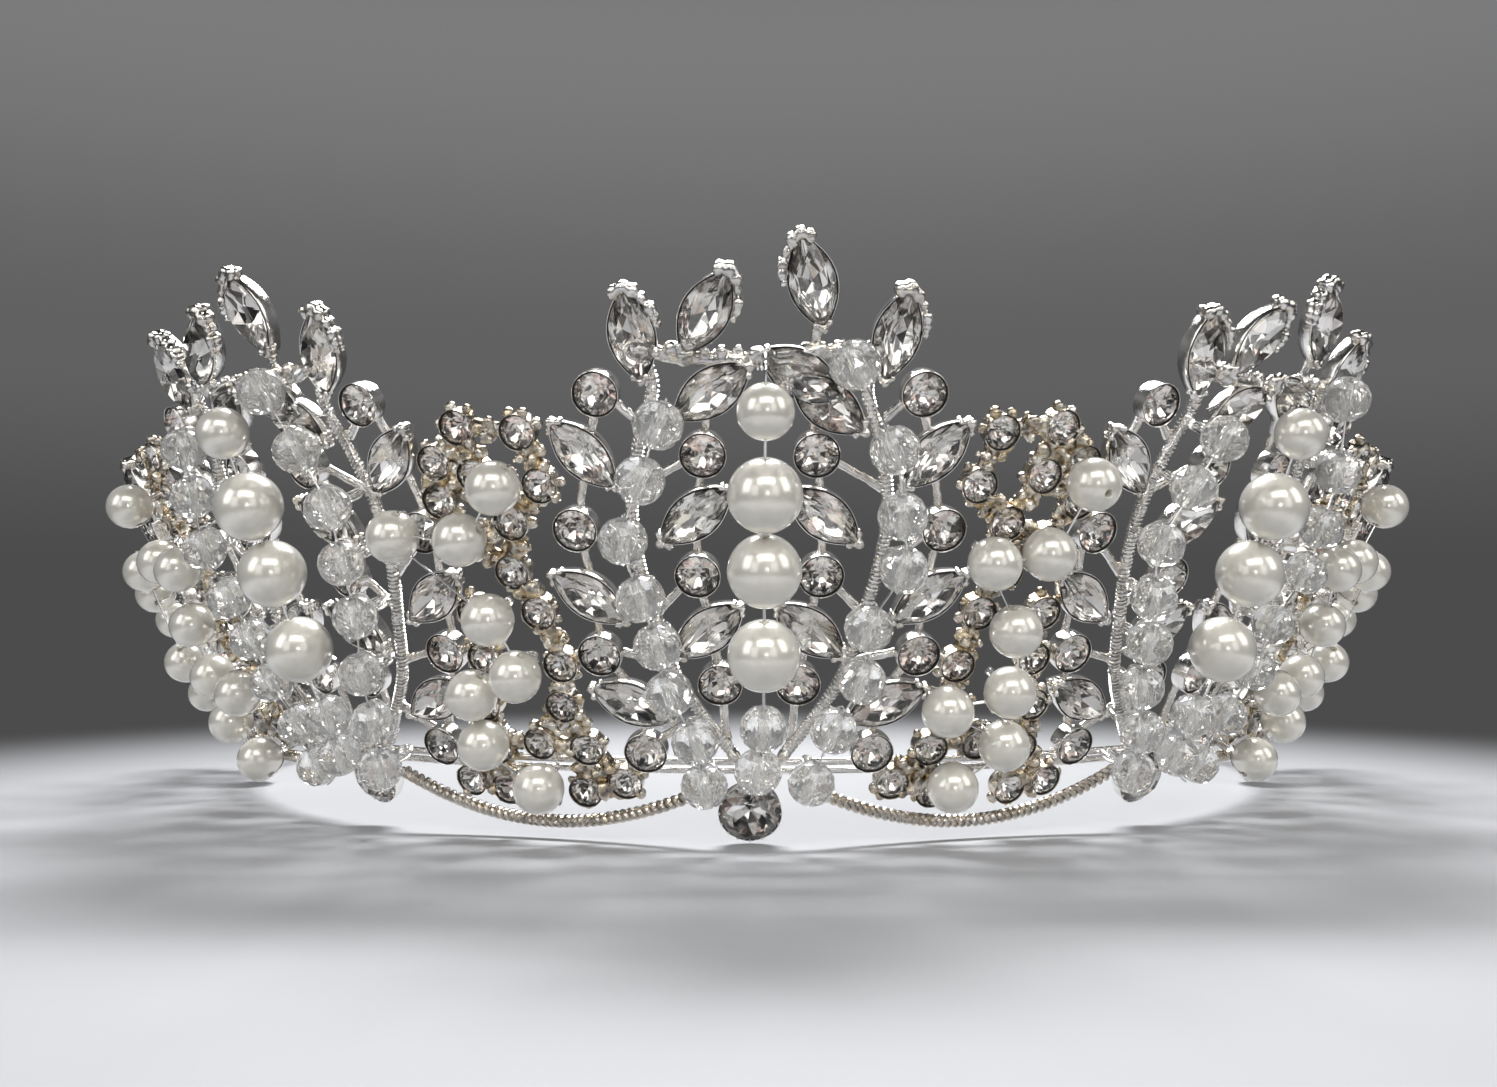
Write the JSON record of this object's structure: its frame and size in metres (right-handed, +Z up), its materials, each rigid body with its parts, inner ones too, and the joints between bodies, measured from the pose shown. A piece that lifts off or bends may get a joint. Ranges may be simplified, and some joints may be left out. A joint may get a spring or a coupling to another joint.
{
  "type": "bridal tiara",
  "caption": "Tall leaning bridal tiara: silver castings with pearls and crystals wired onto a half-round band with pierced end tabs.",
  "frame": {"origin": "on the table under the middle of the tiara's width and depth", "axes": "+Z up, -Y out of the front centre motif, +X towards the wearer's left"},
  "size_m": [0.1909, 0.1172, 0.0664],
  "materials": {
    "silver": "bright silver plate on a lumpy casting",
    "tarnished_silver": "silver plate with warm tarnish in its recesses",
    "silver_rope": "twisted two-strand wire, silver plated",
    "silver_wire": "drawn wire, silver plated",
    "pearl": "imitation pearl, ivory white lustre",
    "crystal": "clear faceted glass bead",
    "rhinestone": "foil-backed faceted glass"
  },
  "bodies": {
    "band": {"band_wire_lower": "silver_wire", "band_wire_upper": "silver_wire", "crest_navette_1": "rhinestone", "crest_navette_2": "rhinestone", "crest_navette_3": "rhinestone", "crest_navette_4": "rhinestone", "crystal_vine_centre_a": "crystal", "crystal_vine_centre_b": "crystal", "crystal_vine_left_a": "crystal", "crystal_vine_left_b": "crystal", "crystal_vine_right_a": "crystal", "crystal_vine_right_b": "crystal", "drop_cup_centre": "silver", "drop_cup_far_left": "silver", "drop_cup_far_right": "silver", "drop_cup_left": "silver", "drop_cup_right": "silver", "drop_stone_centre": "rhinestone", "drop_stone_far_left": "rhinestone", "drop_stone_far_right": "rhinestone", "drop_stone_left": "rhinestone", "drop_stone_right": "rhinestone", "end_frame_left": "silver", "end_frame_right": "silver", "end_pearls_left": "pearl", "end_pearls_right": "pearl", "end_tab_left": "silver", "end_tab_right": "silver", "lattice_frame_far_left": "tarnished_silver", "lattice_frame_far_right": "tarnished_silver", "lattice_frame_left": "tarnished_silver", "lattice_frame_right": "tarnished_silver", "lattice_pearls_far_left": "pearl", "lattice_pearls_far_right": "pearl", "lattice_pearls_left": "pearl", "lattice_pearls_right": "pearl", "motif_frame_centre": "silver", "motif_frame_left": "silver", "motif_frame_right": "silver", "pearl_wire_centre": "silver_wire", "pearl_wire_left": "silver_wire", "pearl_wire_right": "silver_wire", "rope_edge_far_left": "silver_rope", "rope_edge_far_right": "silver_rope", "rope_edge_left": "silver_rope", "rope_edge_right": "silver_rope"},
    "pearl_centre_1": {"pearl_centre_1": "pearl"},
    "pearl_centre_2": {"pearl_centre_2": "pearl"},
    "pearl_centre_3": {"pearl_centre_3": "pearl"},
    "pearl_centre_4": {"pearl_centre_4": "pearl"},
    "pearl_left_1": {"pearl_left_1": "pearl"},
    "pearl_left_2": {"pearl_left_2": "pearl"},
    "pearl_left_3": {"pearl_left_3": "pearl"},
    "pearl_left_4": {"pearl_left_4": "pearl"},
    "pearl_right_1": {"pearl_right_1": "pearl"},
    "pearl_right_2": {"pearl_right_2": "pearl"},
    "pearl_right_3": {"pearl_right_3": "pearl"},
    "pearl_right_4": {"pearl_right_4": "pearl"}
  },
  "joints": [
    {"name": "pearl_centre_1_spin", "type": "hinge", "parent": "band", "child": "pearl_centre_1", "pos_m": [0.00053, -0.05485, 0.04787], "axis": [0.002, -0.3987, 0.9171], "continuous": true},
    {"name": "pearl_centre_2_spin", "type": "hinge", "parent": "band", "child": "pearl_centre_2", "pos_m": [0.00051, -0.05126, 0.03962], "axis": [0.002, -0.3987, 0.9171], "continuous": true},
    {"name": "pearl_centre_3_spin", "type": "hinge", "parent": "band", "child": "pearl_centre_3", "pos_m": [0.00049, -0.04788, 0.03183], "axis": [0.002, -0.3987, 0.9171], "continuous": true},
    {"name": "pearl_centre_4_spin", "type": "hinge", "parent": "band", "child": "pearl_centre_4", "pos_m": [0.00048, -0.04393, 0.02275], "axis": [0.002, -0.3987, 0.9171], "continuous": true},
    {"name": "pearl_left_1_spin", "type": "hinge", "parent": "band", "child": "pearl_left_1", "pos_m": [-0.06162, -0.03512, 0.04787], "axis": [-0.2317, -0.3245, 0.9171], "continuous": true},
    {"name": "pearl_left_2_spin", "type": "hinge", "parent": "band", "child": "pearl_left_2", "pos_m": [-0.05954, -0.03219, 0.03962], "axis": [-0.2317, -0.3245, 0.9171], "continuous": true},
    {"name": "pearl_left_3_spin", "type": "hinge", "parent": "band", "child": "pearl_left_3", "pos_m": [-0.05757, -0.02944, 0.03183], "axis": [-0.2317, -0.3245, 0.9171], "continuous": true},
    {"name": "pearl_left_4_spin", "type": "hinge", "parent": "band", "child": "pearl_left_4", "pos_m": [-0.05527, -0.02622, 0.02275], "axis": [-0.2317, -0.3245, 0.9171], "continuous": true},
    {"name": "pearl_right_1_spin", "type": "hinge", "parent": "band", "child": "pearl_right_1", "pos_m": [0.06248, -0.03449, 0.04787], "axis": [0.2349, -0.3222, 0.9171], "continuous": true},
    {"name": "pearl_right_2_spin", "type": "hinge", "parent": "band", "child": "pearl_right_2", "pos_m": [0.06037, -0.03159, 0.03962], "axis": [0.2349, -0.3222, 0.9171], "continuous": true},
    {"name": "pearl_right_3_spin", "type": "hinge", "parent": "band", "child": "pearl_right_3", "pos_m": [0.05837, -0.02886, 0.03183], "axis": [0.2349, -0.3222, 0.9171], "continuous": true},
    {"name": "pearl_right_4_spin", "type": "hinge", "parent": "band", "child": "pearl_right_4", "pos_m": [0.05604, -0.02567, 0.02275], "axis": [0.2349, -0.3222, 0.9171], "continuous": true}
  ]
}
